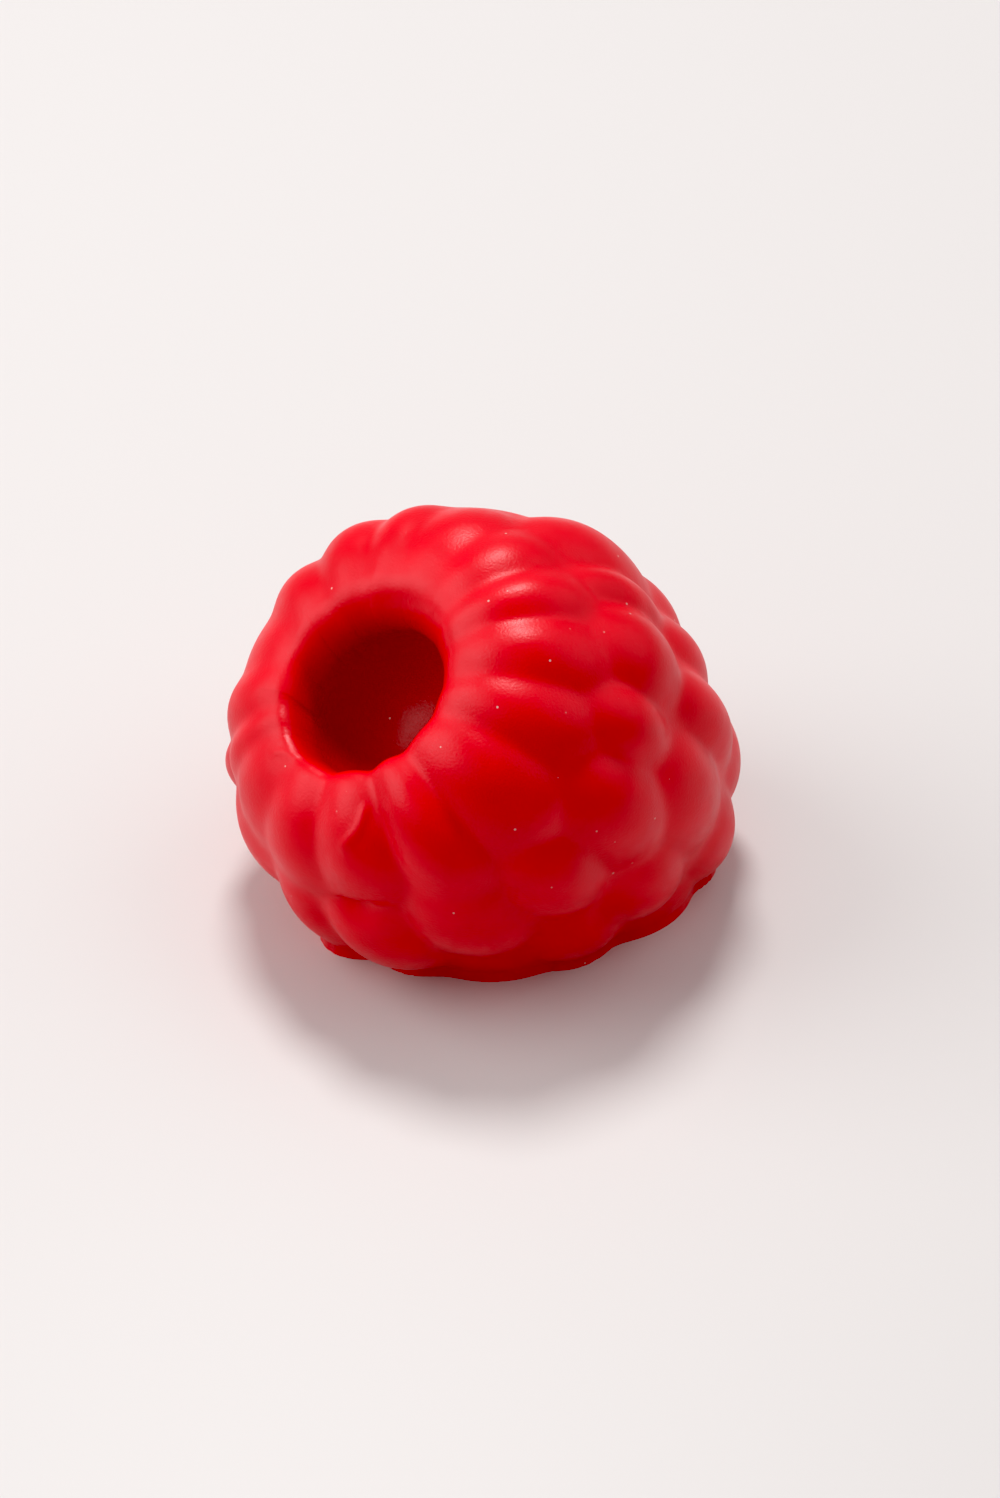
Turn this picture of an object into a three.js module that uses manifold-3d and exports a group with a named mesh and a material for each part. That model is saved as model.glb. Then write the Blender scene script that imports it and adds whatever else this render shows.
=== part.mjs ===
// A moulded raspberry: one solid body with rows of drupelets, a deep hollow where the fruit's
// core would be, and a flat underside that it rests on. Millimetres, +Z up.
import * as THREE from "three";
import { mergeVertices } from "three/addons/utils/BufferGeometryUtils.js";
import Module from "manifold-3d";

// Pose: the mouth of the hollow looks along -Y and up.
const MOUTH_ELEVATION = 48; // degrees above the resting plane
const AXIS_X = 0.2; // where the axis origin stands over the middle of the footprint
const AXIS_Y = -4.88;
const AXIS_Z = 23.4;

// Body of revolution that the drupelets stand on.
const EQUATOR_RADIUS = 27.2;
const CREST_RADIUS = 13.2; // top of the rim round the mouth
const CREST_HEIGHT = 18.2; // crest above the equator, along the axis
const TIP_DEPTH = 40.8; // tip below the equator, along the axis
const SHOULDER_POWER = 2.04; // superellipse powers: 2 is a plain ellipse
const FLANK_POWER = 2.08;
const HOLE_RADIUS = 10.2;
const FUNNEL_DEPTH = 4; // from the crest down to the hollow's wall
const FUNNEL_TURN = 60; // degrees of arc from the crest to that wall
const HOLE_DEPTH = 10; // from there to the floor
const HOLE_POWER = 2.3;
const HOLE_DROP = 2.2; // how far the hollow sits below the middle of the rim
const DROP_STATIONS = [-6, 0]; // the rim eases into that offset between these stations

// Foot: the last of the height drops almost straight to the flat underside.
const FOOT_HEIGHT = 1.5;
const FOOT_SLICE = 0.2; // the slice under that height, drawn down to the resting plane
const FOOT_LAP = 0.3; // how far the foot reaches up into the body

// Relief. Stations are millimetres along the meridian from the crest; negative ones are inside.
const CREASE_SHARPNESS = [1.8, 3.2]; // at the mouth and on the flanks: higher, narrower creases
const SHARPNESS_STATIONS = [0, 20];
const OVERHANG = 1.15; // how far each drupelet runs past its own cell
const RELIEF_FADE = [-9, -4]; // the relief dies away between these stations
const RIM_STATIONS = [-6, 10]; // the first row grows to full height between these
const REACH_CUTOFF = 3; // a drupelet is ignored past this normalised distance

// Each row of drupelets: valley angles round the axis (0 is uppermost, 90 is +X), the stations
// where each drupelet starts and ends, its height, how square its ends are, and the share of
// the height that is left at the mouth.
const ROWS = [
  {
    valleys: [16, 34, 56, 77, 106, 129, 158, 184, 210, 221, 241, 263, 286, 310, 329, 355],
    starts: Array(16).fill(-8),
    ends: [15.5, 16.5, 16.5, 18, 18, 14.5, 14.5, 13, 14, 14.5, 15, 15, 15, 15, 14, 14],
    heights: [1.6, 1.5, 1.5, 1.8, 1.6, 1.9, 1.3, 1.1, 1.1, 1.5, 0.5, 1.7, 2, 1.5, 1.2, 1.3],
    endPower: 4,
    mouthShares: [0.25, 0.3, 0.35, 0.4, 0.4, 0.35, 0.3, 0.25, 0.2, 0.2, 0.2, 0.2, 0.2, 0.2, 0.2, 0.25],
  },
  {
    valleys: [12, 25, 49, 66, 91, 112, 138, 166, 185, 216, 229, 250, 272, 293, 317, 346],
    starts: [16, 16.5, 16.5, 17.5, 17, 14.5, 15.5, 14, 14, 14, 15, 15, 15, 15, 14, 14],
    ends: [32, 32, 30, 36, 33, 32, 32, 38, 24, 29, 32, 32, 32, 32, 33, 37],
    heights: [1.7, 2.3, 1.8, 2.2, 2, 2.2, 2.7, 2.2, 1.7, 2.6, 2, 2, 2, 1.9, 0.2, 2.5],
  },
  {
    valleys: [13, 30, 50, 79, 103, 126, 148, 174, 194, 217, 240, 263, 286, 308, 330, 346],
    starts: [32, 31, 30, 35, 33, ...Array(11).fill(32)],
    ends: [45, 51, 49, 49, 47, 52, 49, 49, 49, 49, 49, 49, 49, 49, 49, 45],
    heights: [1.6, 2.4, 2, 2, 1.8, 1.1, ...Array(10).fill(2)],
  },
  {
    valleys: [15, 50, 83, 118, 135, 165, 195, 225, 255, 285, 315, 345],
    starts: Array(12).fill(49),
    ends: Array(12).fill(64),
    heights: [2.2, 2.2, 1.7, ...Array(9).fill(2)],
  },
  {
    valleys: [0, 60, 120, 180, 240, 300],
    starts: Array(6).fill(63),
    ends: Array(6).fill(76),
    heights: Array(6).fill(1.8),
  },
];

// Places where the body stands fuller, or leaner, than its turned form: station, angle, height.
const SWELLINGS = [
  [20, 180, 0.3],
  [20, 240, 0.8],
  [44, 0, 0.5],
  [44, 60, 0.4],
  [44, 120, -0.5],
  [44, 180, 1.8],
  [44, 240, -0.2],
  [64, 0, 0.5],
  [64, 60, 1],
  [64, 120, -0.7],
];
const SWELLING_SPREAD = [15, 42]; // along the meridian, and degrees round the axis
const SWELLING_STATIONS = [-9, 6]; // they grow between these stations
const TIP_STATIONS = [66, 79]; // and die away again between these
const HOLLOW_SWELLINGS = [[-5, 250, -0.5]];
const HOLLOW_SPREAD = [4, 30];

// Faceting.
const SEGMENTS = 96; // round the axis
const WALL_STEP = 3; // along the meridian inside the hollow
const RELIEF_STEP = 2; // along the meridian over the drupelets
const CURVE_STEPS = 96; // samples a meridian arc is measured with
const MERGE_TOLERANCE = 1e-4;

const COLOUR = 0xd8121f;
const ROUGHNESS = 0.42;

const FULL_TURN = 360;
const HALF_TURN = 180;
const QUARTER = Math.PI / 2;

/** Superellipse quarter point: cosine part first, sine part second. */
function quarterPoint(across, along, angle, power) {
  const exponent = 2 / power;
  return [across * Math.cos(angle) ** exponent, along * Math.sin(angle) ** exponent];
}

/** Meridian from the hollow's floor, over the crest, to the tip, with its stations. */
function meridian() {
  const points = [];
  const lip = CREST_HEIGHT - FUNNEL_DEPTH;
  for (let i = 0; i <= CURVE_STEPS; i++) {
    const angle = QUARTER * (1 - i / CURVE_STEPS);
    const [radius, depth] = quarterPoint(HOLE_RADIUS, HOLE_DEPTH, angle, HOLE_POWER);
    points.push(new THREE.Vector2(radius, lip - depth));
  }
  const turned = THREE.MathUtils.degToRad(FUNNEL_TURN);
  const inward = (CREST_RADIUS - HOLE_RADIUS) / Math.sin(turned);
  const drop = FUNNEL_DEPTH / (1 - Math.cos(turned));
  for (let i = 1; i <= CURVE_STEPS; i++) {
    const angle = turned * (1 - i / CURVE_STEPS);
    const radius = CREST_RADIUS - inward * Math.sin(angle);
    points.push(new THREE.Vector2(radius, CREST_HEIGHT - drop * (1 - Math.cos(angle))));
  }
  const crest = points.length - 1;
  for (let i = 1; i <= CURVE_STEPS; i++) {
    const angle = (QUARTER * i) / CURVE_STEPS;
    const [height, out] = quarterPoint(CREST_HEIGHT, EQUATOR_RADIUS - CREST_RADIUS, angle, SHOULDER_POWER);
    points.push(new THREE.Vector2(CREST_RADIUS + out, height));
  }
  for (let i = 1; i <= CURVE_STEPS; i++) {
    const angle = (QUARTER * i) / CURVE_STEPS;
    const [radius, depth] = quarterPoint(EQUATOR_RADIUS, TIP_DEPTH, angle, FLANK_POWER);
    points.push(new THREE.Vector2(radius, -depth));
  }
  points[0].x = 0;
  points[points.length - 1].x = 0;
  const stations = [0];
  for (let i = 1; i < points.length; i++) {
    stations.push(stations[i - 1] + points[i].distanceTo(points[i - 1]));
  }
  const offset = stations[crest];
  return { points, stations: stations.map((station) => station - offset) };
}

const MERIDIAN = meridian();

/** Point and outward normal of the meridian at a station. */
function meridianAt(station) {
  const { points, stations } = MERIDIAN;
  const last = points.length - 1;
  let k = stations.findIndex((value) => value >= station);
  k = k < 1 ? (k < 0 ? last : 1) : k;
  const share = THREE.MathUtils.clamp((station - stations[k - 1]) / (stations[k] - stations[k - 1]), 0, 1);
  const point = points[k - 1].clone().lerp(points[k], share);
  const tangent = points[Math.min(last, k + 1)].clone().sub(points[Math.max(0, k - 2)]).normalize();
  return { point, normal: new THREE.Vector2(-tangent.y, tangent.x) };
}

/** Every drupelet as the centre, half sizes and height of one bulge. */
function drupelets() {
  return ROWS.flatMap(({ valleys, starts, ends, heights, endPower = 2, mouthShares }) =>
    valleys.map((valley, i) => {
      const next = i + 1 < valleys.length ? valleys[i + 1] : valleys[0] + FULL_TURN;
      return {
        angle: (valley + next) / 2,
        halfAngle: ((next - valley) / 2) * OVERHANG,
        station: (starts[i] + ends[i]) / 2,
        halfLength: ((ends[i] - starts[i]) / 2) * OVERHANG,
        height: heights[i],
        mouthShare: mouthShares ? mouthShares[i] : 1,
        endPower,
      };
    }),
  );
}

const DRUPELETS = drupelets();

/** Signed difference of two angles in degrees, between -180 and 180. */
function turn(from, to) {
  return THREE.MathUtils.euclideanModulo(from - to + HALF_TURN, FULL_TURN) - HALF_TURN;
}

/** Sum of some swellings at a point of the surface. */
function fullness(swellings, [along, around], station, angle) {
  return swellings.reduce((sum, [middle, direction, height]) => {
    const reach = ((station - middle) / along) ** 2 + (turn(angle, direction) / around) ** 2;
    return sum + height * Math.exp(-reach);
  }, 0);
}

/** Height of the relief over the plain body: the bulges joined by a soft maximum. */
function relief(station, angle) {
  const { lerp, smoothstep } = THREE.MathUtils;
  const sharpness = lerp(...CREASE_SHARPNESS, smoothstep(station, ...SHARPNESS_STATIONS));
  const grown = smoothstep(station, ...RIM_STATIONS);
  let sum = 1;
  for (const drupelet of DRUPELETS) {
    const along = Math.abs(station - drupelet.station) / drupelet.halfLength;
    const across = turn(angle, drupelet.angle) / drupelet.halfAngle;
    const reach = along ** drupelet.endPower + across * across;
    if (reach > REACH_CUTOFF) continue;
    const height = drupelet.height * lerp(drupelet.mouthShare, 1, grown);
    sum += Math.exp(sharpness * height * (1 - reach));
  }
  const broad = fullness(SWELLINGS, SWELLING_SPREAD, station, angle);
  const raised = (Math.log(sum) / sharpness) * smoothstep(station, ...RELIEF_FADE);
  const hollowed = fullness(HOLLOW_SWELLINGS, HOLLOW_SPREAD, station, angle);
  const kept = smoothstep(station, ...SWELLING_STATIONS) * (1 - smoothstep(station, ...TIP_STATIONS));
  return raised + broad * kept + hollowed;
}

/** Evenly spaced values from one station up to, but not including, another. */
function spread(from, to, step) {
  const count = Math.round((to - from) / step);
  return Array.from({ length: count }, (_, i) => THREE.MathUtils.lerp(from, to, i / count));
}

/** Stations where the body is sampled, from the tip to the hollow's floor. */
function sampleStations() {
  const floor = MERIDIAN.stations[0];
  const tip = MERIDIAN.stations.at(-1);
  const inside = spread(floor, RELIEF_FADE[0], WALL_STEP);
  const outside = spread(RELIEF_FADE[0], tip, RELIEF_STEP);
  return [...inside, ...outside, tip].reverse();
}

/** The uncut berry: a lathed body with its vertices raised by the relief, laid in its pose. */
function berryGeometry() {
  const stations = sampleStations();
  const profile = stations.map((station) => meridianAt(station).point);
  const geometry = new THREE.LatheGeometry(profile, SEGMENTS);
  const position = geometry.attributes.position;
  for (let i = 0; i <= SEGMENTS; i++) {
    const lathe = (i / SEGMENTS) * FULL_TURN;
    const [sine, cosine] = [Math.sin, Math.cos].map((wave) => wave(THREE.MathUtils.degToRad(lathe)));
    stations.forEach((station, j) => {
      const { point, normal } = meridianAt(station);
      point.addScaledVector(normal, relief(station, HALF_TURN - lathe));
      const radius = profile[j].x > 0 ? point.x : 0;
      const drop = HOLE_DROP * (1 - THREE.MathUtils.smoothstep(station, ...DROP_STATIONS));
      position.setXYZ(i * stations.length + j, radius * sine, point.y, radius * cosine + drop);
    });
  }
  geometry.rotateX(THREE.MathUtils.degToRad(HALF_TURN - MOUTH_ELEVATION));
  geometry.translate(AXIS_X, AXIS_Y, AXIS_Z);
  return geometry;
}

/** A block wider than the berry that fills everything under, or over, a height. */
function block(body, height, side) {
  body.computeBoundingBox();
  const size = body.boundingBox.getSize(new THREE.Vector3()).multiplyScalar(2);
  return new THREE.BoxGeometry(size.x, size.y, size.z).translate(0, 0, height + (side * size.z) / 2);
}

const wasm = await Module();
wasm.setup();

/** Closed manifold solid of a geometry. */
function solid(geometry) {
  const bare = geometry.clone();
  bare.deleteAttribute("normal");
  bare.deleteAttribute("uv");
  const merged = mergeVertices(bare, MERGE_TOLERANCE);
  const corners = merged.index.array;
  const kept = [];
  for (let k = 0; k < corners.length; k += 3) {
    const [a, b, c] = corners.slice(k, k + 3);
    if (a !== b && b !== c && c !== a) kept.push(a, b, c);
  }
  const vertProperties = Float32Array.from(merged.attributes.position.array);
  return new wasm.Manifold(new wasm.Mesh({ numProp: 3, vertProperties, triVerts: Uint32Array.from(kept) }));
}

/** Geometry of a manifold solid. */
function geometryOf(manifold) {
  const { vertProperties, triVerts } = manifold.getMesh();
  const geometry = new THREE.BufferGeometry();
  geometry.setAttribute("position", new THREE.BufferAttribute(vertProperties, 3));
  geometry.setIndex(new THREE.BufferAttribute(triVerts, 1));
  geometry.computeVertexNormals();
  return geometry;
}

/** The foot: a thin slice of the berry stretched from inside the body to the resting plane. */
function foot(berry, whole) {
  const bottom = FOOT_HEIGHT - FOOT_SLICE;
  const capped = whole.subtract(solid(block(berry, FOOT_HEIGHT, 1)));
  const slice = capped.subtract(solid(block(berry, bottom, -1)));
  const top = FOOT_HEIGHT + FOOT_LAP;
  const drawn = geometryOf(slice).translate(0, 0, -FOOT_HEIGHT).scale(1, 1, top / FOOT_SLICE);
  return solid(drawn.translate(0, 0, top));
}

/** The whole piece: the berry standing on its foot. */
function mouldedRaspberry() {
  const berry = berryGeometry();
  const whole = solid(berry);
  const body = whole.subtract(solid(block(berry, FOOT_HEIGHT, -1))).add(foot(berry, whole));
  const material = new THREE.MeshStandardMaterial({ color: COLOUR, roughness: ROUGHNESS, metalness: 0 });
  const mesh = new THREE.Mesh(geometryOf(body), material);
  mesh.name = "moulded_raspberry";
  return mesh;
}

const part = new THREE.Group();
part.add(mouldedRaspberry());

export default part;
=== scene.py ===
"""A moulded raspberry with a deep hollow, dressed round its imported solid.

The body is turned from one meridian, its drupelets are raised from the surface by rule, and the
underside is cut flat and drawn down into a short upright foot. Lengths are millimetres in the
dataclasses and metres in the meshes.
"""
import logging
import math
from dataclasses import dataclass, field
from enum import Enum

import bpy
import numpy as np
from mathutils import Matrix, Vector


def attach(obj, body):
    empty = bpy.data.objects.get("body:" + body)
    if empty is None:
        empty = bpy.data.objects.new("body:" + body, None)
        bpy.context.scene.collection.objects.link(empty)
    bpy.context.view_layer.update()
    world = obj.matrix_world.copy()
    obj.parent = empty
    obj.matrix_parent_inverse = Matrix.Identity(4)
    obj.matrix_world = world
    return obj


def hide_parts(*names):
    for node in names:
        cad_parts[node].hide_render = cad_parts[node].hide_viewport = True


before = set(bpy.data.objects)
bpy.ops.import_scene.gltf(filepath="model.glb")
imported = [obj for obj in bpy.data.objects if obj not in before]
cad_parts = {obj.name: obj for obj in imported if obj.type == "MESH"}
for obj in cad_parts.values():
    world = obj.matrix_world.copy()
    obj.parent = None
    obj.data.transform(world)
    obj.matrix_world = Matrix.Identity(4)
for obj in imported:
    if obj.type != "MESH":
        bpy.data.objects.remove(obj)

LOG = logging.getLogger("moulded_raspberry")
MM = 0.001
FULL_TURN = 360.0
HALF_TURN = 180.0
QUARTER = math.pi / 2
FRAME_LONG_SIDE = 1498.0  # the picture frame's long side, in pixels
NODE = "moulded_raspberry"
BLACK_LEVEL = 0.025


class Row(Enum):
    """The rows of drupelets, from the mouth to the tip."""

    RIM = "rim"
    SHOULDER = "shoulder"
    FLANK = "flank"
    WAIST = "waist"
    TIP = "tip"


class LightRole(Enum):
    """What each studio light is for."""

    KEY = "key"
    TOP = "top"
    FRONT = "front"
    BACK = "back"


@dataclass(frozen=True)
class BerryPose:
    """How the berry leans on its foot, and where its axis starts."""

    mouth_elevation: float = 48.0
    axis_x: float = 0.2
    axis_y: float = -4.88
    axis_z: float = 23.4

    def origin(self) -> np.ndarray:
        """Middle of the berry's equator, in millimetres."""
        return np.array([self.axis_x, self.axis_y, self.axis_z])

    def axis(self) -> np.ndarray:
        """Unit vector along the axis, out of the mouth."""
        lean = math.radians(self.mouth_elevation)
        return np.array([0.0, -math.cos(lean), math.sin(lean)])

    def upward(self) -> np.ndarray:
        """Unit vector across the axis that angle 0 points along."""
        lean = math.radians(self.mouth_elevation)
        return np.array([0.0, math.sin(lean), math.cos(lean)])

    def sideways(self) -> np.ndarray:
        """Unit vector across the axis that angle 90 points along."""
        return np.array([1.0, 0.0, 0.0])


@dataclass(frozen=True)
class BodyForm:
    """The smooth body that the drupelets stand on, all of superellipse arcs."""

    equator_radius: float = 27.2
    crest_radius: float = 13.2
    crest_height: float = 18.2
    tip_depth: float = 40.8
    shoulder_power: float = 2.04
    flank_power: float = 2.08
    hole_radius: float = 10.2
    funnel_depth: float = 4.0
    funnel_turn: float = 60.0
    hole_depth: float = 10.0
    hole_power: float = 2.3
    hole_drop: float = 2.2
    drop_stations: tuple[float, float] = (-6.0, 3.0)
    steps: int = 160

    def _arc(self, power: float) -> tuple[np.ndarray, np.ndarray]:
        """Cosine and sine parts of a unit superellipse quarter.

        Args:
            power: 2 gives a circle, more gives squarer shoulders.

        Returns:
            The cosine part and the sine part at even angles.
        """
        angle = np.linspace(0.0, QUARTER, self.steps + 1)
        return np.cos(angle).clip(0.0) ** (2 / power), np.sin(angle) ** (2 / power)

    def line(self) -> tuple[np.ndarray, int]:
        """Meridian from the hollow's floor, over the crest, to the tip.

        Returns:
            Points as radius and height along the axis, and the crest's index.
        """
        lip = self.crest_height - self.funnel_depth
        cosine, sine = self._arc(self.hole_power)
        hole = np.stack([self.hole_radius * cosine, lip - self.hole_depth * sine], 1)[::-1]
        turned = np.radians(np.linspace(self.funnel_turn, 0.0, self.steps + 1))
        inward = (self.crest_radius - self.hole_radius) / math.sin(turned[0])
        drop = self.funnel_depth / (1 - math.cos(turned[0]))
        funnel = np.stack(
            [
                self.crest_radius - inward * np.sin(turned),
                self.crest_height - drop * (1 - np.cos(turned)),
            ],
            1,
        )
        cosine, sine = self._arc(self.shoulder_power)
        outward = self.equator_radius - self.crest_radius
        shoulder = np.stack([self.crest_radius + outward * sine, self.crest_height * cosine], 1)
        cosine, sine = self._arc(self.flank_power)
        flank = np.stack([self.equator_radius * cosine, -self.tip_depth * sine], 1)
        points = np.concatenate([hole, funnel[1:], shoulder[1:], flank[1:]])
        points[[0, -1], 0] = 0.0
        return points, 2 * self.steps


@dataclass
class Meridian:
    """The body's meridian measured in stations: millimetres along it from the crest."""

    form: BodyForm
    points: np.ndarray = field(init=False)
    stations: np.ndarray = field(init=False)

    def __post_init__(self) -> None:
        """Measures the line."""
        self.points, crest = self.form.line()
        lengths = np.hypot(*np.diff(self.points, axis=0).T)
        along = np.concatenate([[0.0], np.cumsum(lengths)])
        self.stations = along - along[crest]

    def at(self, stations: np.ndarray) -> np.ndarray:
        """Radius and height along the axis at some stations.

        Args:
            stations: Where to read the line.

        Returns:
            One row of radius and height for each station.
        """
        return np.stack([np.interp(stations, self.stations, self.points[:, k]) for k in (0, 1)], 1)


@dataclass(frozen=True)
class DrupeletRow:
    """One row of drupelets round the axis.

    The valleys are angles round the axis, 0 uppermost and 90 towards +X. Each drupelet runs from
    its start to its end station and stands as high as its height. Where a row has mouth shares,
    its drupelets keep only that share of their height at the mouth.
    """

    row: Row
    valleys: tuple[float, ...]
    starts: tuple[float, ...]
    ends: tuple[float, ...]
    heights: tuple[float, ...]
    end_power: float = 2.0
    mouth_shares: tuple[float, ...] = ()


def every(value: float, count: int) -> tuple[float, ...]:
    """The same value for each drupelet of a row."""
    return (value,) * count


ROWS: tuple[DrupeletRow, ...] = (
    DrupeletRow(
        Row.RIM,
        valleys=(16, 34, 56, 77, 106, 129, 158, 184, 210, 221, 241, 263, 286, 310, 329, 355),
        starts=every(-8, 16),
        ends=(15.5, 16.5, 16.5, 18, 18, 14.5, 14.5, 13, 14, 14.5, 15, 15, 15, 15, 14, 14),
        heights=(1.6, 1.5, 1.6, 2.1, 2.4, 2.3, 1.6, 1.1, 1.1, 1.5, 0.5, 1.7, 2, 1.5, 1.2, 1.3),
        end_power=4.0,
        mouth_shares=(0.25, 0.3, 0.35, 0.35, 0.4, 0.45, 0.4, 0.25) + every(0.2, 7) + (0.25,),
    ),
    DrupeletRow(
        Row.SHOULDER,
        valleys=(12, 25, 49, 66, 91, 112, 138, 166, 185, 216, 229, 250, 272, 293, 317, 346),
        starts=(16, 16.5, 16.5, 17.5, 17, 14.5, 15.5, 14, 14, 14, 15, 15, 15, 15, 14, 14),
        ends=(32, 32, 30, 36, 33, 32, 32, 38, 24, 29, 32, 32, 32, 32, 33, 37),
        heights=(1.7, 2.3, 1.8, 2.3, 2.4, 2.5, 2.7, 2.2, 1.7, 2.6, 2, 2, 2, 1.9, 0.2, 2.5),
    ),
    DrupeletRow(
        Row.FLANK,
        valleys=(13, 30, 50, 79, 103, 126, 148, 174, 194, 217, 240, 263, 286, 308, 330, 346),
        starts=(32, 31, 30, 35, 33) + every(32, 11),
        ends=(45, 51, 49, 49, 47, 52) + every(49, 9) + (45,),
        heights=(1.6, 2.4, 2, 2, 1.8, 1.1) + every(2, 10),
    ),
    DrupeletRow(
        Row.WAIST,
        valleys=(15, 50, 83, 118, 135, 165, 195, 225, 255, 285, 315, 345),
        starts=every(49, 12),
        ends=every(64, 12),
        heights=(2.2, 2.2, 1.7) + every(2, 9),
    ),
    DrupeletRow(
        Row.TIP,
        valleys=(0, 60, 120, 180, 240, 300),
        starts=every(63, 6),
        ends=every(76, 6),
        heights=every(1.8, 6),
    ),
)


@dataclass(frozen=True)
class Swelling:
    """A place where the skin stands fuller, or leaner, than its turned form."""

    station: float
    angle: float
    height: float
    along: float = 15.0
    around: float = 42.0


SWELLINGS: tuple[Swelling, ...] = (
    Swelling(20, 180, 0.3),
    Swelling(20, 240, 0.8),
    Swelling(44, 0, 0.5),
    Swelling(44, 60, 0.4),
    Swelling(44, 120, -0.5),
    Swelling(44, 180, 1.8),
    Swelling(44, 240, -0.2),
    Swelling(64, 0, 0.5),
    Swelling(64, 60, 1),
    Swelling(64, 120, -0.7),
)

HOLLOW_SWELLINGS: tuple[Swelling, ...] = (
    Swelling(-5, 250, -0.5, along=4, around=30),
    Swelling(-2.5, 300, 0.8, along=2.5, around=40),
)


def smooth_step(value: np.ndarray, low: float, high: float) -> np.ndarray:
    """Eased ramp from 0 at low to 1 at high."""
    share = np.clip((value - low) / (high - low), 0.0, 1.0)
    return share * share * (3 - 2 * share)


def turn_between(angle: np.ndarray, other: float) -> np.ndarray:
    """Signed turn from one angle to others, between -180 and 180 degrees."""
    return (angle - other + HALF_TURN) % FULL_TURN - HALF_TURN


@dataclass(frozen=True)
class Dent:
    """A small pit in the skin, steep towards the mouth and shallow the other way."""

    station: float = 15.3
    angle: float = 151.0
    depth: float = 1.6
    above: float = 0.6
    below: float = 2.4
    around: float = 6.5

    def height(self, station: np.ndarray, angle: np.ndarray) -> np.ndarray:
        """Height of the pit at points of the surface, in millimetres."""
        along = station - self.station
        along = along / np.where(along < 0.0, self.above, self.below)
        turned = turn_between(angle, self.angle) / self.around
        return -self.depth * np.exp(-(along**2) - turned**2)


@dataclass(frozen=True)
class Fold:
    """A thin raised line in the skin, through a few stations and angles."""

    places: tuple[tuple[float, float], ...]
    radius: float
    rise: float = 0.3
    width: float = 0.45

    def height(self, station: np.ndarray, angle: np.ndarray) -> np.ndarray:
        """Height of the fold at points of the surface.

        Args:
            station: Station of each point.
            angle: Angle round the axis of each point, in degrees.

        Returns:
            The fold's height, in millimetres.
        """
        nearest = np.full_like(station, np.inf)
        arc = math.radians(1.0) * self.radius
        for (along, turn), (far_along, far_turn) in zip(self.places, self.places[1:]):
            step = np.array([far_along - along, (far_turn - turn) * arc])
            offset = np.stack([station - along, turn_between(angle, turn) * arc])
            share = np.clip(np.tensordot(step, offset, 1) / (step @ step), 0.0, 1.0)
            away = np.hypot(offset[0] - share * step[0], offset[1] - share * step[1])
            nearest = np.minimum(nearest, away)
        return self.rise * np.exp(-((nearest / self.width) ** 2))


FOLDS: tuple[Fold, ...] = (
    Fold(((3.8, 134.0), (5.5, 137.0), (7.2, 144.0)), radius=15.0),
    Fold(((1.6, 197.0), (0.3, 193.0), (-0.4, 187.0)), radius=14.0, rise=0.12),
)


@dataclass(frozen=True)
class Relief:
    """Height of the skin over the turned body.

    The drupelets are bulges joined by a soft maximum; the swellings are broad and lie under them.
    """

    rows: tuple[DrupeletRow, ...] = ROWS
    swellings: tuple[Swelling, ...] = SWELLINGS
    hollow_swellings: tuple[Swelling, ...] = HOLLOW_SWELLINGS
    dent: Dent = field(default_factory=Dent)
    folds: tuple[Fold, ...] = FOLDS
    rim_sharpness: float = 1.8
    flank_sharpness: float = 3.2
    sharpness_stations: tuple[float, float] = (0.0, 20.0)
    overhang: float = 1.15
    fade: tuple[float, float] = (-9.0, -4.0)
    swelling_stations: tuple[float, float] = (-9.0, 6.0)
    tip_stations: tuple[float, float] = (66.0, 79.0)
    rim_stations: tuple[float, float] = (-6.0, 10.0)
    cutoff: float = 3.0

    def height(self, station: np.ndarray, angle: np.ndarray) -> np.ndarray:
        """Relief height at points of the surface.

        Args:
            station: Station of each point.
            angle: Angle round the axis of each point, in degrees.

        Returns:
            Height of each point over the smooth body, in millimetres.
        """
        total = np.ones_like(station)
        gained = self.flank_sharpness - self.rim_sharpness
        sharpness = self.rim_sharpness + gained * smooth_step(station, *self.sharpness_stations)
        grown = smooth_step(station, *self.rim_stations)
        for row in self.rows:
            for i, valley in enumerate(row.valleys):
                following = (*row.valleys[1:], row.valleys[0] + FULL_TURN)[i]
                half_angle = (following - valley) / 2 * self.overhang
                half_length = (row.ends[i] - row.starts[i]) / 2 * self.overhang
                middle = (row.ends[i] + row.starts[i]) / 2
                turned = turn_between(angle, (valley + following) / 2)
                reach = (np.abs(station - middle) / half_length) ** row.end_power
                reach = reach + (turned / half_angle) ** 2
                share = row.mouth_shares[i] if row.mouth_shares else 1.0
                tall = row.heights[i] * (share + (1 - share) * grown)
                bulge = np.exp(sharpness * tall * (1 - reach))
                total += np.where(reach < self.cutoff, bulge, 0.0)
        drupelets = np.log(total) / sharpness * smooth_step(station, *self.fade)
        broad = self._fullness(self.swellings, station, angle)
        hollow = self._fullness(self.hollow_swellings, station, angle)
        kept = smooth_step(station, *self.swelling_stations)
        kept = kept * (1 - smooth_step(station, *self.tip_stations))
        fine = self.dent.height(station, angle) + sum(
            fold.height(station, angle) for fold in self.folds
        )
        return drupelets + broad * kept + hollow + fine

    def _fullness(
        self, swellings: tuple[Swelling, ...], station: np.ndarray, angle: np.ndarray
    ) -> np.ndarray:
        """Sum of some swellings at points of the surface, in millimetres."""
        total = np.zeros_like(station)
        for swelling in swellings:
            along = (station - swelling.station) / swelling.along
            around = turn_between(angle, swelling.angle) / swelling.around
            total += swelling.height * np.exp(-(along**2) - around**2)
        return total


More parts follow.
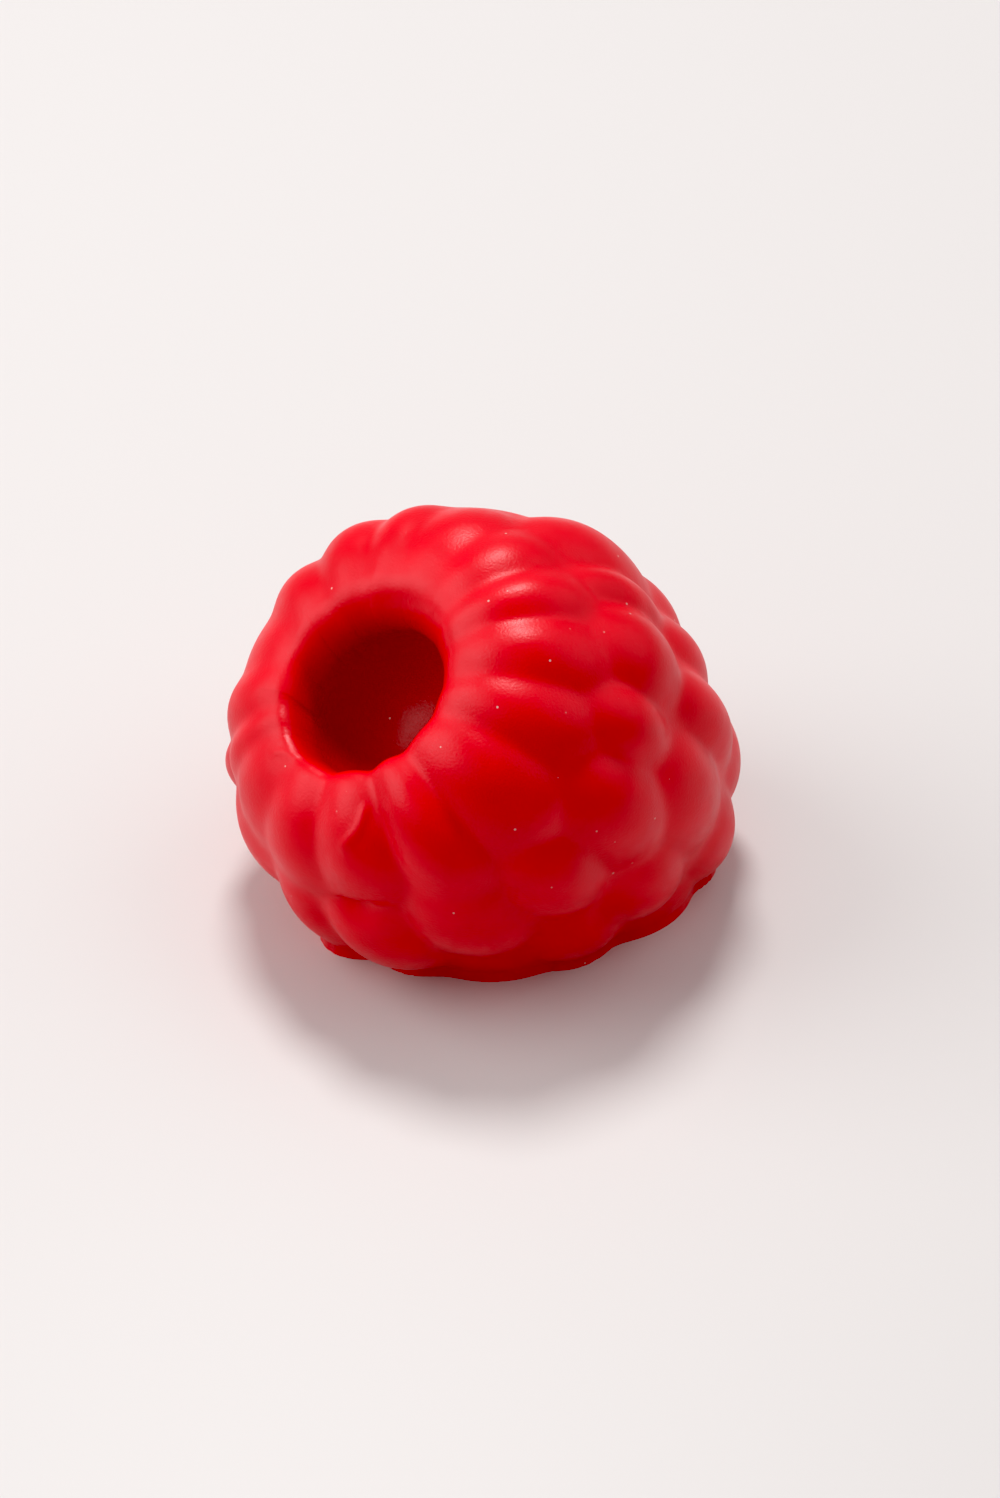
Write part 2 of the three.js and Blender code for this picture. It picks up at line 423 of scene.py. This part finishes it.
@dataclass(frozen=True)
class SatinRed:
    """The satin red of the cast body, with fine grain, pale dust, painted shade in the hollow and
    a painted highlight there.
    """

    name: str = "satin_red"
    deep: tuple[float, float, float] = (0.70, 0.0, 0.012)
    bright: tuple[float, float, float] = (0.80, 0.002, 0.017)
    dust: tuple[float, float, float] = (0.75, 0.40, 0.36)
    dust_cell_mm: float = 3.2
    dust_mm: float = 0.17
    dust_core: float = 0.6
    # Painted shade: the hollow's red is darkened towards this point, where shade falls.
    painted_shade: tuple[float, float, float] = (0.5, 0.0, 0.006)
    painted_shade_place: tuple[float, float, float] = (0.2, -12.4, 28.6)
    painted_shade_mm: tuple[float, float] = (10.5, 14.5)
    # Painted highlight: a pale, grainy spot on the hollow's floor where light catches it.
    painted_highlight: tuple[float, float, float] = (0.75, 0.14, 0.16)
    painted_highlight_place: tuple[float, float, float] = (-3.1, -3.2, 26.8)
    painted_highlight_mm: float = 2.2
    painted_highlight_grain_mm: float = 0.6
    painted_highlight_grain_band: tuple[float, float] = (0.4, 0.6)
    painted_highlight_strength: tuple[float, float] = (0.3, 0.9)
    roughness: float = 0.38
    roughness_drift: float = 0.05
    specular: float = 0.4
    refraction: float = 1.45
    scatter_weight: float = 0.12
    scatter_mm: tuple[float, float, float] = (2.0, 0.35, 0.25)
    mottle_mm: float = 9.0
    mottle_detail: float = 4.0
    mottle_band: tuple[float, float] = (0.3, 0.7)
    drift_mm: float = 3.0
    fine_detail: float = 3.0
    grain_mm: float = 0.32
    grain_detail: float = 2.0
    grain_depth_mm: float = 0.035

    def build(self) -> bpy.types.Material:
        """Makes the material.

        Returns:
            The finished material.
        """
        material = bpy.data.materials.new(self.name)
        material.use_nodes = True
        tree = material.node_tree
        shader = tree.nodes["Principled BSDF"]
        shader.inputs["Subsurface Weight"].default_value = self.scatter_weight
        shader.inputs["Subsurface Radius"].default_value = self.scatter_mm
        shader.inputs["Subsurface Scale"].default_value = MM
        shader.inputs["IOR"].default_value = self.refraction
        shader.inputs["Specular IOR Level"].default_value = self.specular
        place = tree.nodes.new("ShaderNodeTexCoord").outputs["Object"]
        tree.links.new(self._colour(tree, place), shader.inputs["Base Color"])
        tree.links.new(self._roughness(tree, place), shader.inputs["Roughness"])
        tree.links.new(self._grain(tree, place), shader.inputs["Normal"])
        return material

    def _noise(
        self, tree: bpy.types.NodeTree, place: bpy.types.NodeSocket, size_mm: float, detail: float
    ) -> bpy.types.NodeSocket:
        """Noise of one size, from 0 to 1.

        Args:
            tree: The material's nodes.
            place: Object coordinates.
            size_mm: Size of one blob.
            detail: Octaves of finer noise.

        Returns:
            The noise's value socket.
        """
        noise = tree.nodes.new("ShaderNodeTexNoise")
        noise.inputs["Scale"].default_value = 1 / (size_mm * MM)
        noise.inputs["Detail"].default_value = detail
        tree.links.new(place, noise.inputs["Vector"])
        return noise.outputs["Fac"]

    def _ramp(
        self,
        tree: bpy.types.NodeTree,
        value: bpy.types.NodeSocket,
        low: float,
        high: float,
        out: tuple[float, float],
    ) -> bpy.types.NodeSocket:
        """Maps a value from one range to another, clamped."""
        node = tree.nodes.new("ShaderNodeMapRange")
        node.inputs["From Min"].default_value = low
        node.inputs["From Max"].default_value = high
        node.inputs["To Min"].default_value = out[0]
        node.inputs["To Max"].default_value = out[1]
        tree.links.new(value, node.inputs["Value"])
        return node.outputs["Result"]

    def _mix(
        self,
        tree: bpy.types.NodeTree,
        share: bpy.types.NodeSocket,
        first: tuple[float, float, float] | bpy.types.NodeSocket,
        second: tuple[float, float, float],
    ) -> bpy.types.NodeSocket:
        """Mixes two colours by a share."""
        node = tree.nodes.new("ShaderNodeMix")
        node.data_type = "RGBA"
        tree.links.new(share, node.inputs["Factor"])
        if isinstance(first, tuple):
            node.inputs["A"].default_value = (*first, 1.0)
        else:
            tree.links.new(first, node.inputs["A"])
        node.inputs["B"].default_value = (*second, 1.0)
        return node.outputs["Result"]

    def _colour(
        self, tree: bpy.types.NodeTree, place: bpy.types.NodeSocket
    ) -> bpy.types.NodeSocket:
        """Mottled red with painted shade darkening the hollow, a grainy painted highlight there
        and dust specks all over.
        """
        patches = self._noise(tree, place, self.mottle_mm, self.mottle_detail)
        mottle = self._ramp(tree, patches, *self.mottle_band, (0.0, 1.0))
        red = self._mix(tree, mottle, self.deep, self.bright)
        # Painted shade: the red darkens near the middle of the hollow.
        inside = self._nearness(tree, place, self.painted_shade_place, *self.painted_shade_mm)
        shaded = self._mix(tree, inside, red, self.painted_shade)
        # Painted highlight: a pale grainy spot mixed in on the hollow's floor.
        highlighted = self._mix(tree, self._painted_highlight_share(tree, place), shaded, self.painted_highlight)
        specks = tree.nodes.new("ShaderNodeTexVoronoi")
        specks.inputs["Scale"].default_value = 1 / (self.dust_cell_mm * MM)
        tree.links.new(place, specks.inputs["Vector"])
        size = self.dust_mm / self.dust_cell_mm
        core = size * self.dust_core
        speck = self._ramp(tree, specks.outputs["Distance"], core, size, (1.0, 0.0))
        return self._mix(tree, speck, highlighted, self.dust)

    def _nearness(
        self,
        tree: bpy.types.NodeTree,
        place: bpy.types.NodeSocket,
        centre: tuple[float, float, float],
        whole_mm: float,
        none_mm: float,
    ) -> bpy.types.NodeSocket:
        """Share that is 1 close to a point and fades to 0 away from it.

        Args:
            tree: The material's nodes.
            place: Object coordinates.
            centre: The point, in millimetres.
            whole_mm: Distance up to which the share is 1.
            none_mm: Distance from which it is 0.

        Returns:
            The share's socket.
        """
        away = tree.nodes.new("ShaderNodeVectorMath")
        away.operation = "DISTANCE"
        away.inputs[1].default_value = Vector(centre) * MM
        tree.links.new(place, away.inputs[0])
        return self._ramp(tree, away.outputs["Value"], whole_mm * MM, none_mm * MM, (1.0, 0.0))

    def _painted_highlight_share(
        self, tree: bpy.types.NodeTree, place: bpy.types.NodeSocket
    ) -> bpy.types.NodeSocket:
        """Share of the grainy painted highlight: whole at its middle, none at its edge."""
        near = self._nearness(tree, place, self.painted_highlight_place, self.painted_highlight_mm / 2, self.painted_highlight_mm)
        fine = self._noise(tree, place, self.painted_highlight_grain_mm, self.fine_detail)
        grain = self._ramp(tree, fine, *self.painted_highlight_grain_band, self.painted_highlight_strength)
        both = tree.nodes.new("ShaderNodeMath")
        both.operation = "MULTIPLY"
        tree.links.new(near, both.inputs[0])
        tree.links.new(grain, both.inputs[1])
        return both.outputs["Value"]

    def _roughness(
        self, tree: bpy.types.NodeTree, place: bpy.types.NodeSocket
    ) -> bpy.types.NodeSocket:
        """Roughness that drifts a little over the surface."""
        drift = self._noise(tree, place, self.drift_mm, self.fine_detail)
        low, high = self.roughness - self.roughness_drift, self.roughness + self.roughness_drift
        return self._ramp(tree, drift, *self.mottle_band, (low, high))

    def _grain(
        self, tree: bpy.types.NodeTree, place: bpy.types.NodeSocket
    ) -> bpy.types.NodeSocket:
        """Fine grain as bump."""
        bump = tree.nodes.new("ShaderNodeBump")
        bump.inputs["Distance"].default_value = self.grain_depth_mm * MM
        bump.inputs["Strength"].default_value = 1.0
        grain = self._noise(tree, place, self.grain_mm, self.grain_detail)
        tree.links.new(grain, bump.inputs["Height"])
        return bump.outputs["Normal"]


def only(piece: bpy.types.Object) -> None:
    """Selects one object alone and makes it active."""
    bpy.ops.object.select_all(action="DESELECT")
    piece.select_set(True)
    bpy.context.view_layer.objects.active = piece


def deselect_everything() -> None:
    """Leaves nothing selected, so that operators act on new work alone."""
    bpy.ops.object.select_all(action="DESELECT")


@dataclass
class Raspberry:
    """The whole piece: a turned body with raised drupelets, a flat underside and a foot."""

    pose: BerryPose = field(default_factory=BerryPose)
    form: BodyForm = field(default_factory=BodyForm)
    relief: Relief = field(default_factory=Relief)
    finish: SatinRed = field(default_factory=SatinRed)
    turns: int = 448
    skin_step: float = 0.55
    hollow_step: float = 1.1
    foot_height: float = 1.5
    merge_distance: float = 0.001
    smooth_angle: float = 50.0
    chunk: int = 4096
    name: str = "raspberry_body"

    def build(self) -> bpy.types.Object:
        """Models and dresses the piece.

        Returns:
            The finished object, riding on the root body.
        """
        meridian = Meridian(self.form)
        stations = self._ring_stations(meridian)
        piece = self._turned_body(meridian, stations)
        station, angle = self._surface_places(piece, meridian, stations)
        self._raise_drupelets(piece, self.relief.height(station, angle))
        self._drop_hollow(piece, station)
        self._cut_foot(piece)
        only(piece)
        bpy.ops.object.shade_smooth_by_angle(angle=math.radians(self.smooth_angle))
        piece.data.materials.append(self.finish.build())
        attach(piece, "root")
        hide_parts(NODE)
        LOG.info("%s: %d faces", piece.name, len(piece.data.polygons))
        return piece

    def _ring_stations(self, meridian: Meridian) -> np.ndarray:
        """Stations of the rings, close together where the relief is."""
        floor, tip = meridian.stations[0], meridian.stations[-1]
        edge = self.relief.fade[0]
        inside = np.linspace(floor, edge, round((edge - floor) / self.hollow_step), endpoint=False)
        outside = np.linspace(edge, tip, round((tip - edge) / self.skin_step) + 1)
        return np.concatenate([inside, outside])

    def _turned_body(self, meridian: Meridian, stations: np.ndarray) -> bpy.types.Object:
        """Spins the meridian round the axis into a closed body.

        Args:
            meridian: The line to spin.
            stations: Where the line has its points.

        Returns:
            The smooth body.
        """
        radius, height = meridian.at(stations).T
        origin, axis = self.pose.origin(), self.pose.axis()
        points = origin + height[:, None] * axis + radius[:, None] * self.pose.upward()
        mesh = bpy.data.meshes.new(self.name)
        edges = [(i, i + 1) for i in range(len(points) - 1)]
        mesh.from_pydata((points * MM).tolist(), edges, [])
        piece = bpy.data.objects.new(self.name, mesh)
        bpy.context.scene.collection.objects.link(piece)
        only(piece)
        bpy.ops.object.mode_set(mode="EDIT")
        bpy.ops.mesh.select_all(action="SELECT")
        bpy.ops.mesh.spin(
            steps=self.turns, angle=2 * math.pi, center=origin * MM, axis=axis, dupli=False
        )
        bpy.ops.mesh.select_all(action="SELECT")
        bpy.ops.mesh.remove_doubles(threshold=self.merge_distance * MM)
        bpy.ops.mesh.normals_make_consistent(inside=False)
        bpy.ops.object.mode_set(mode="OBJECT")
        return piece

    def _surface_places(
        self, piece: bpy.types.Object, meridian: Meridian, stations: np.ndarray
    ) -> tuple[np.ndarray, np.ndarray]:
        """Station and angle of each vertex of the smooth body."""
        spots = np.empty(len(piece.data.vertices) * 3)
        piece.data.vertices.foreach_get("co", spots)
        offset = spots.reshape(-1, 3) / MM - self.pose.origin()
        height = offset @ self.pose.axis()
        up, side = offset @ self.pose.upward(), offset @ self.pose.sideways()
        rings = meridian.at(stations)
        here = np.stack([np.hypot(up, side), height], 1)
        nearest = np.empty(len(here), int)
        for start in range(0, len(here), self.chunk):
            part = slice(start, start + self.chunk)
            away = here[part, None, :] - rings[None]
            nearest[part] = np.argmin((away**2).sum(2), 1)
        return stations[nearest], np.degrees(np.arctan2(side, up))

    def _raise_drupelets(self, piece: bpy.types.Object, height: np.ndarray) -> None:
        """Pushes the surface out along its normals.

        Args:
            piece: The smooth body.
            height: How far each vertex goes, in millimetres.
        """
        for name, side in (("raised", 1.0), ("sunk", -1.0)):
            amount = np.maximum(height * side, 0.0)
            most = float(amount.max())
            push = piece.modifiers.new(name, "DISPLACE")
            push.direction = "NORMAL"
            push.mid_level = 0.0
            push.strength = side * most * MM
            push.vertex_group = self._weigh(piece, name, amount / most)
        only(piece)
        for name in ("raised", "sunk"):
            bpy.ops.object.modifier_apply(modifier=name)
        piece.vertex_groups.clear()

    def _drop_hollow(self, piece: bpy.types.Object, station: np.ndarray) -> None:
        """Slides the hollow down across the axis, the rim easing into it."""
        share = 1 - smooth_step(station, *self.form.drop_stations)
        slide = self.pose.upward() * -self.form.hole_drop * MM
        for name, amount in zip("XYZ", slide):
            if amount:
                push = piece.modifiers.new(name, "DISPLACE")
                push.direction = name
                push.mid_level = 0.0
                push.strength = amount
                push.vertex_group = self._weigh(piece, name, share)
        only(piece)
        for modifier in list(piece.modifiers):
            bpy.ops.object.modifier_apply(modifier=modifier.name)
        piece.vertex_groups.clear()

    def _weigh(self, piece: bpy.types.Object, name: str, shares: np.ndarray) -> str:
        """Makes a vertex group with a weight for each vertex, and names it."""
        group = piece.vertex_groups.new(name=name)
        for index, share in enumerate(shares.tolist()):
            group.add([index], share, "REPLACE")
        return group.name

    def _cut_foot(self, piece: bpy.types.Object) -> None:
        """Cuts the underside level and draws the edge down to the resting plane."""
        only(piece)
        bpy.ops.object.mode_set(mode="EDIT")
        bpy.ops.mesh.select_all(action="SELECT")
        level = self.foot_height * MM
        bpy.ops.mesh.bisect(
            plane_co=(0.0, 0.0, level), plane_no=(0.0, 0.0, 1.0), clear_inner=True, use_fill=False
        )
        bpy.ops.mesh.extrude_region_move(TRANSFORM_OT_translate={"value": (0.0, 0.0, -level)})
        bpy.ops.mesh.edge_face_add()
        bpy.ops.mesh.select_all(action="SELECT")
        bpy.ops.mesh.normals_make_consistent(inside=False)
        bpy.ops.object.mode_set(mode="OBJECT")


@dataclass(frozen=True)
class StudioLight:
    """A soft area light aimed at the piece."""

    role: LightRole
    azimuth: float
    elevation: float
    distance: float
    size: float
    watts: float
    colour: tuple[float, float, float] = (1.0, 1.0, 1.0)


@dataclass
class Studio:
    """Pale floor, soft lights and the camera."""

    target: Vector = field(default_factory=lambda: Vector((0.2, -4.88, 24.0)) * MM)
    azimuth: float = 55.6
    elevation: float = 38.0
    distance: float = 506.0
    lens: float = 100.0
    sensor: float = 36.0
    shift_right: float = 42.6
    shift_down: float = 21.2
    floor_size: float = 4000.0
    floor_colour: tuple[float, float, float] = (0.69, 0.67, 0.67)
    floor_roughness: float = 0.45
    room_colour: tuple[float, float, float] = (1.0, 0.985, 0.98)
    room_strength: float = 0.37
    lights: tuple[StudioLight, ...] = (
        StudioLight(LightRole.KEY, -38.0, 35.0, 900.0, 800.0, 4.2, (1.0, 0.98, 0.96)),
        StudioLight(LightRole.FRONT, 12.0, 40.0, 900.0, 600.0, 0.4, (1.0, 0.98, 0.96)),
        StudioLight(LightRole.BACK, 157.0, 40.0, 900.0, 1000.0, 1.8, (1.0, 0.96, 0.95)),
        StudioLight(LightRole.TOP, -117.0, 63.0, 900.0, 260.0, 4.8, (1.0, 0.98, 0.96)),
    )

    def build(self) -> None:
        """Sets up floor, lights, world and camera."""
        self._floor()
        for light in self.lights:
            self._light(light)
        self._world()
        self._camera()
        LOG.info("studio: %d lights", len(self.lights))

    def _away(self, azimuth: float, elevation: float, distance: float) -> Vector:
        """A point round the target, as a camera there would be named."""
        turn, rise = math.radians(azimuth), math.radians(elevation)
        back = Vector(
            (math.sin(turn) * math.cos(rise), -math.cos(turn) * math.cos(rise), math.sin(rise))
        )
        return self.target + back * distance * MM

    def _floor(self) -> None:
        """Lays the plain pale floor."""
        deselect_everything()
        bpy.ops.mesh.primitive_plane_add(size=self.floor_size * MM)
        floor = bpy.context.object
        floor.name = "studio_floor"
        material = bpy.data.materials.new("studio_floor")
        material.use_nodes = True
        shader = material.node_tree.nodes["Principled BSDF"]
        shader.inputs["Base Color"].default_value = (*self.floor_colour, 1.0)
        shader.inputs["Roughness"].default_value = self.floor_roughness
        floor.data.materials.append(material)

    def _light(self, light: StudioLight) -> None:
        """Adds one area light."""
        data = bpy.data.lights.new(light.role.value, "AREA")
        data.shape = "DISK"
        data.size = light.size * MM
        data.energy = light.watts
        data.color = light.colour
        lamp = bpy.data.objects.new(light.role.value, data)
        lamp.location = self._away(light.azimuth, light.elevation, light.distance)
        lamp.rotation_euler = (lamp.location - self.target).to_track_quat("Z", "Y").to_euler()
        bpy.context.scene.collection.objects.link(lamp)

    def _world(self) -> None:
        """Lights the room evenly and dimly."""
        world = bpy.data.worlds.new("studio")
        world.use_nodes = True
        background = world.node_tree.nodes["Background"]
        background.inputs["Color"].default_value = (*self.room_colour, 1.0)
        background.inputs["Strength"].default_value = self.room_strength
        bpy.context.scene.world = world

    def _camera(self) -> None:
        """Places the camera."""
        data = bpy.data.cameras.new("camera")
        data.lens = self.lens
        data.sensor_width = self.sensor
        data.shift_x = self.shift_right / FRAME_LONG_SIDE
        data.shift_y = -self.shift_down / FRAME_LONG_SIDE
        camera = bpy.data.objects.new("camera", data)
        camera.location = self._away(self.azimuth, self.elevation, self.distance)
        camera.rotation_euler = (camera.location - self.target).to_track_quat("Z", "Y").to_euler()
        bpy.context.scene.collection.objects.link(camera)
        bpy.context.scene.camera = camera


def grade_picture() -> None:
    """Shows the light as it falls, with the blacks held down a little."""
    view = bpy.context.scene.view_settings
    view.view_transform = "Standard"
    view.use_curve_mapping = True
    view.curve_mapping.black_level = (BLACK_LEVEL,) * 3
    view.curve_mapping.update()


def main() -> None:
    """Builds the raspberry and its studio."""
    logging.basicConfig(level=logging.INFO)
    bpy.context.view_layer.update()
    deselect_everything()
    Raspberry().build()
    Studio().build()
    grade_picture()


if __name__ == "__main__":
    main()
